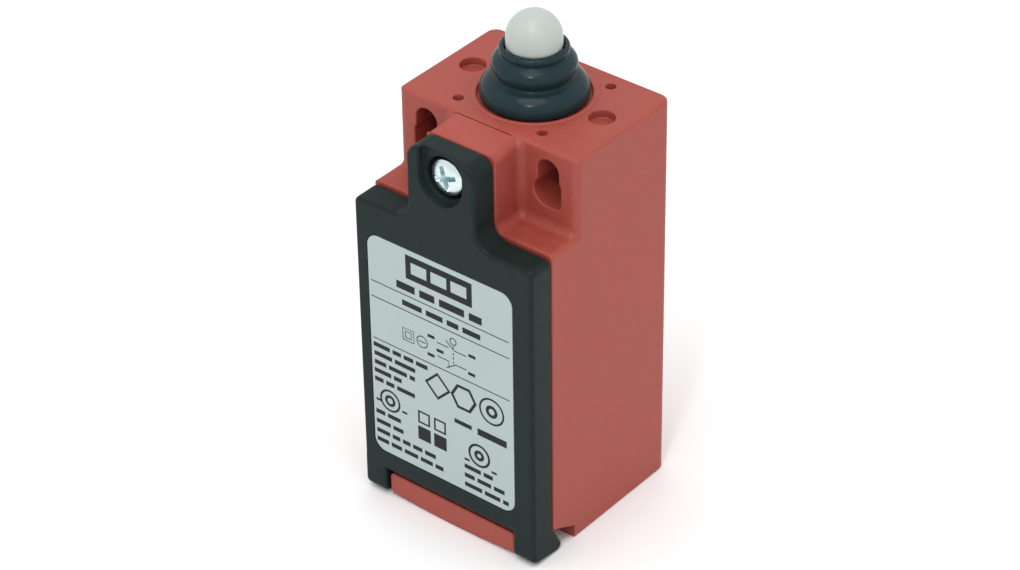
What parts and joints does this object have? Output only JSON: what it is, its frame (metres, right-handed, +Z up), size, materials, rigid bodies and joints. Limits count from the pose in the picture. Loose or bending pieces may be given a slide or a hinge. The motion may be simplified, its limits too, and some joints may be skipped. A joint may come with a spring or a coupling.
{
  "type": "limit switch",
  "caption": "Plunger limit switch: moulded housing with sealed dome plunger, hooked screw-down cover, snap contact block and cable entry.",
  "frame": {"origin": "middle of the bounding box in plan, at the housing's underside", "axes": "+Z up along the plunger, the cover faces -Y, the back mounting face is +Y"},
  "size_m": [0.03, 0.0296, 0.0727],
  "materials": {
    "red_plastic": "satin moulded",
    "black_plastic": "fine matt moulded",
    "label_film": "satin film",
    "white_plastic": "translucent satin",
    "black_rubber": "glossy",
    "grey_plastic": "satin moulded",
    "zinc_steel": "zinc plated",
    "brass": "rolled",
    "spring_steel": "drawn wire",
    "silver": "bright",
    "nylon": "satin",
    "clear_plastic": "clear, smoky"
  },
  "bodies": {
    "housing": {"housing": "red_plastic", "screw_insert": "brass", "guide_bush": "grey_plastic", "boot": "black_rubber", "plunger_spring": "spring_steel", "return_spring": "spring_steel", "block_base": "grey_plastic", "block_lid": "clear_plastic", "terminal_13": "brass", "terminal_14": "brass", "terminal_21": "brass", "terminal_22": "brass", "fixed_contact_13": "silver", "fixed_contact_14": "silver", "fixed_contact_21": "silver", "fixed_contact_22": "silver"},
    "cover": {"cover": "black_plastic", "label": "label_film", "cover_gasket": "black_rubber"},
    "cover_washer": {"captive_washer": "nylon"},
    "cover_screw": {"cover_screw": "zinc_steel"},
    "plunger": {"plunger": "white_plastic", "plunger_clip": "spring_steel"},
    "pusher": {"pusher": "nylon"},
    "carrier": {"contact_carrier": "black_plastic", "overtravel_spring": "spring_steel", "bridge_no": "brass", "bridge_nc": "brass", "moving_contact_no_left": "silver", "moving_contact_no_right": "silver", "moving_contact_nc_left": "silver", "moving_contact_nc_right": "silver"},
    "clamp_13": {"clamp_13": "zinc_steel"},
    "terminal_screw_13": {"terminal_screw_13": "zinc_steel"},
    "clamp_14": {"clamp_14": "zinc_steel"},
    "terminal_screw_14": {"terminal_screw_14": "zinc_steel"},
    "clamp_21": {"clamp_21": "zinc_steel"},
    "terminal_screw_21": {"terminal_screw_21": "zinc_steel"},
    "clamp_22": {"clamp_22": "zinc_steel"},
    "terminal_screw_22": {"terminal_screw_22": "zinc_steel"}
  },
  "joints": [
    {"name": "plunger_slide", "type": "slide", "parent": "housing", "child": "plunger", "axis": [0, 0, -1], "range_m": [0, 0.005], "stiffness_N_per_m": 900, "springref_m": -0.004, "deforming": ["boot", "plunger_spring"]},
    {"name": "pusher_slide", "type": "slide", "parent": "housing", "child": "pusher", "axis": [0, 0, -1], "range_m": [0, 0.005], "deforming": ["overtravel_spring"]},
    {"name": "carrier_slide", "type": "slide", "parent": "housing", "child": "carrier", "axis": [0, 0, -1], "range_m": [0, 0.0022], "deforming": ["return_spring"]},
    {"name": "cover_hinge", "type": "hinge", "parent": "housing", "child": "cover", "pos_m": [0, -0.0098, 0.0018], "axis": [1, 0, 0], "range_deg": [0, 80]},
    {"name": "cover_washer_slide", "type": "slide", "parent": "cover", "child": "cover_washer", "axis": [0, -1, 0], "range_m": [0, 0.003]},
    {"name": "cover_screw_turn", "type": "hinge", "parent": "cover_washer", "child": "cover_screw", "pos_m": [0, -0.0138, 0.05635], "axis": [0, -1, 0], "range_deg": [0, 2160]},
    {"name": "clamp_13_slide", "type": "slide", "parent": "housing", "child": "clamp_13", "axis": [0, -1, 0], "range_m": [0, 0.002]},
    {"name": "terminal_screw_13_turn", "type": "hinge", "parent": "clamp_13", "child": "terminal_screw_13", "pos_m": [-0.008, -0.0051, 0.0176], "axis": [0, -1, 0], "range_deg": [0, 1440]},
    {"name": "clamp_14_slide", "type": "slide", "parent": "housing", "child": "clamp_14", "axis": [0, -1, 0], "range_m": [0, 0.002]},
    {"name": "terminal_screw_14_turn", "type": "hinge", "parent": "clamp_14", "child": "terminal_screw_14", "pos_m": [0.008, -0.0051, 0.0176], "axis": [0, -1, 0], "range_deg": [0, 1440]},
    {"name": "clamp_21_slide", "type": "slide", "parent": "housing", "child": "clamp_21", "axis": [0, -1, 0], "range_m": [0, 0.002]},
    {"name": "terminal_screw_21_turn", "type": "hinge", "parent": "clamp_21", "child": "terminal_screw_21", "pos_m": [-0.008, -0.0051, 0.0412], "axis": [0, -1, 0], "range_deg": [0, 1440]},
    {"name": "clamp_22_slide", "type": "slide", "parent": "housing", "child": "clamp_22", "axis": [0, -1, 0], "range_m": [0, 0.002]},
    {"name": "terminal_screw_22_turn", "type": "hinge", "parent": "clamp_22", "child": "terminal_screw_22", "pos_m": [0.008, -0.0051, 0.0412], "axis": [0, -1, 0], "range_deg": [0, 1440]}
  ],
  "couplings": [
    {"joint": "pusher_slide", "follows": "plunger_slide", "ratio": 1},
    {"joint": "carrier_slide", "follows": "plunger_slide", "ratio": 0.44},
    {"joint": "cover_screw_turn", "follows": "cover_washer_slide", "rad_per_m": 12566},
    {"joint": "terminal_screw_13_turn", "follows": "clamp_13_slide", "rad_per_m": 12566},
    {"joint": "terminal_screw_14_turn", "follows": "clamp_14_slide", "rad_per_m": 12566},
    {"joint": "terminal_screw_21_turn", "follows": "clamp_21_slide", "rad_per_m": 12566},
    {"joint": "terminal_screw_22_turn", "follows": "clamp_22_slide", "rad_per_m": 12566}
  ]
}
